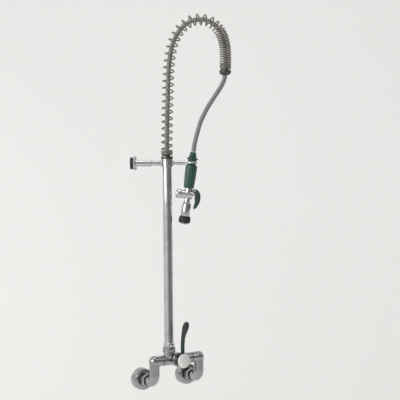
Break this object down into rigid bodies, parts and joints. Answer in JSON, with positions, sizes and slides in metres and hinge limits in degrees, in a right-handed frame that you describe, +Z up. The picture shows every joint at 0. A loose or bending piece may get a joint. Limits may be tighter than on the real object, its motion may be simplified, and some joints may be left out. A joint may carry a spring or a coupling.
{
  "type": "pre rinse faucet",
  "caption": "Wall-mounted lever mixer with a tall riser, a sprung hose hoop, a wall bracket with a hook, and a trigger hand spray hung on the hook.",
  "frame": {"origin": "on the wall plane, midway between the two wall inlets at the height of their axes", "axes": "+X to the right of a person who faces the wall, +Y into the wall, +Z up"},
  "size_m": [0.2594, 0.2065, 1.0888],
  "materials": {
    "chrome": "polished chrome plate",
    "steel": "plain stainless steel",
    "spring_steel": "drawn spring wire, warm grey",
    "dark_steel": "dark plated steel",
    "brass": "turned brass",
    "hose_braid": "fine steel braid over a rubber hose",
    "green_plastic": "satin dark green plastic",
    "black_plastic": "moulded black plastic",
    "black_rubber": "matte black rubber",
    "white_plastic": "glossy white plastic",
    "ceramic": "lapped ceramic"
  },
  "bodies": {
    "base": {"wall_rosette_left": "chrome", "wall_nipple_left": "brass", "inlet_strainer_left": "steel", "inlet_washer_left": "black_rubber", "inlet_nut_left": "chrome", "inlet_elbow_left": "chrome", "elbow_seal_left": "black_rubber", "wall_rosette_right": "chrome", "wall_nipple_right": "brass", "inlet_strainer_right": "steel", "inlet_washer_right": "black_rubber", "inlet_nut_right": "chrome", "inlet_elbow_right": "chrome", "elbow_seal_right": "black_rubber", "mixer_body": "chrome", "cartridge_shell": "black_plastic", "cartridge_seal": "black_rubber", "ceramic_disc_fixed": "ceramic", "cartridge_nut": "brass", "cartridge_dome": "chrome", "riser_nut": "chrome", "riser_seal": "black_rubber"},
    "selector": {"cartridge_rotor": "black_plastic", "ceramic_disc_moving": "ceramic"},
    "lever": {"cartridge_stem": "steel", "mixer_lever": "green_plastic", "lever_screw": "steel", "index_cap": "white_plastic"},
    "column": {"riser_pipe": "chrome", "riser_cap": "chrome", "bracket_collar": "chrome", "collar_screw": "steel", "bracket_rod": "chrome", "spray_hook": "chrome", "hose_lower_nut": "dark_steel", "hose": "hose_braid", "support_spring": "spring_steel", "spring_end_ring": "dark_steel"},
    "bracket": {"bracket_flange": "chrome", "bracket_pad": "black_rubber", "bracket_screw_upper": "steel", "bracket_screw_lower": "steel", "bracket_lock_screw": "steel"},
    "spray": {"grip_tube": "steel", "grip_sleeve": "green_plastic", "hose_coupling": "green_plastic", "coupling_washer": "black_rubber", "spray_body": "chrome", "spray_bonnet": "chrome", "bonnet_seal": "black_rubber", "valve_spring": "steel", "trigger_pin": "steel", "spray_nozzle": "chrome", "nozzle_seal": "black_rubber", "spray_ring": "black_rubber", "spray_plate": "steel"},
    "trigger": {"trigger": "green_plastic"},
    "valve": {"valve_stem": "brass", "valve_washer": "black_rubber"}
  },
  "joints": [
    {"name": "mixer_temperature", "type": "hinge", "parent": "base", "child": "selector", "pos_m": [0, -0.1, 0.06], "axis": [0, -1, 0], "range_deg": [-40, 40]},
    {"name": "mixer_flow", "type": "hinge", "parent": "selector", "child": "lever", "pos_m": [0, -0.1, 0.06], "axis": [1, 0, 0], "range_deg": [0, 22]},
    {"name": "column_swivel", "type": "hinge", "parent": "base", "child": "column", "pos_m": [-0.0255, -0.082, 0.08], "axis": [0, 0, 1], "range_deg": [-57, 40]},
    {"name": "bracket_reach", "type": "slide", "parent": "column", "child": "bracket", "axis": [-0.8387, 0.5446, 0], "range_m": [-0.024, 0]},
    {"name": "spray_swing", "type": "hinge", "parent": "column", "child": "spray", "pos_m": [0.04495, -0.12775, 0.7], "axis": [-0.5446, -0.8387, 0], "range_deg": [0, 35], "deforming": ["hose"]},
    {"name": "trigger_squeeze", "type": "hinge", "parent": "spray", "child": "trigger", "pos_m": [0.04128, -0.12537, 0.54723], "axis": [0.5446, 0.8387, 0], "range_deg": [0, 7], "stiffness_Nm_per_rad": 4, "springref_deg": -2.86},
    {"name": "valve_stroke", "type": "slide", "parent": "spray", "child": "valve", "axis": [-0.8305, 0.5393, 0.1391], "range_m": [0, 0.00158], "deforming": ["valve_spring"]}
  ],
  "couplings": [
    {"joint": "trigger_squeeze", "follows": "valve_stroke", "rad_per_m": 76.92}
  ]
}
